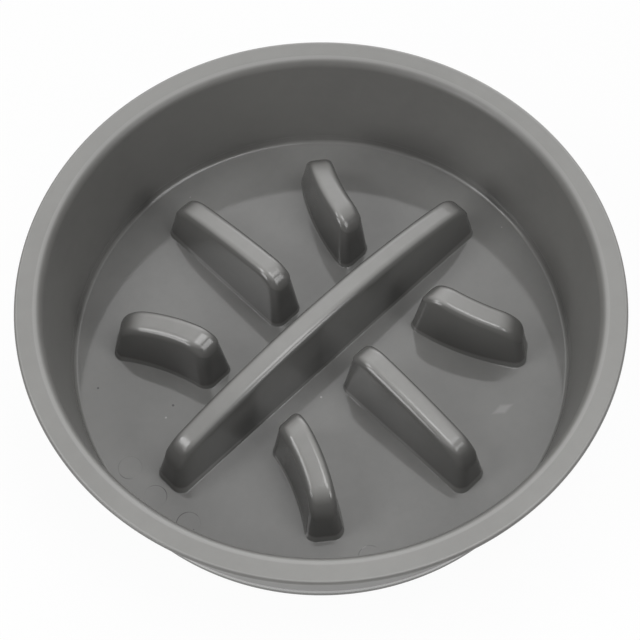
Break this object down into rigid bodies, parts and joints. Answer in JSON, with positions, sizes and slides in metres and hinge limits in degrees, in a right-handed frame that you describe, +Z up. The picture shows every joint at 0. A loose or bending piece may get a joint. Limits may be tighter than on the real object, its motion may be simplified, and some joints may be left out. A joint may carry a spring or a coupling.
{
  "type": "slow feeder bowl",
  "caption": "Round slow feeder bowl: a flat rim, a leaning wall and a flat floor with tall hollow ridges, straight and curved, that slow a dog's eating, on rubber feet.",
  "frame": {"origin": "on the table under the middle of the bowl, level with the undersides of the feet", "axes": "+Z up, +X along the long bar in the middle of the floor"},
  "size_m": [0.25, 0.25, 0.058],
  "materials": {
    "bowl_plastic": "smooth moulded, semi-gloss",
    "foot_rubber": "matt moulded rubber"
  },
  "bodies": {
    "root": {"bowl": "bowl_plastic", "foot_1": "foot_rubber", "foot_2": "foot_rubber", "foot_3": "foot_rubber", "foot_4": "foot_rubber"}
  },
  "joints": []
}
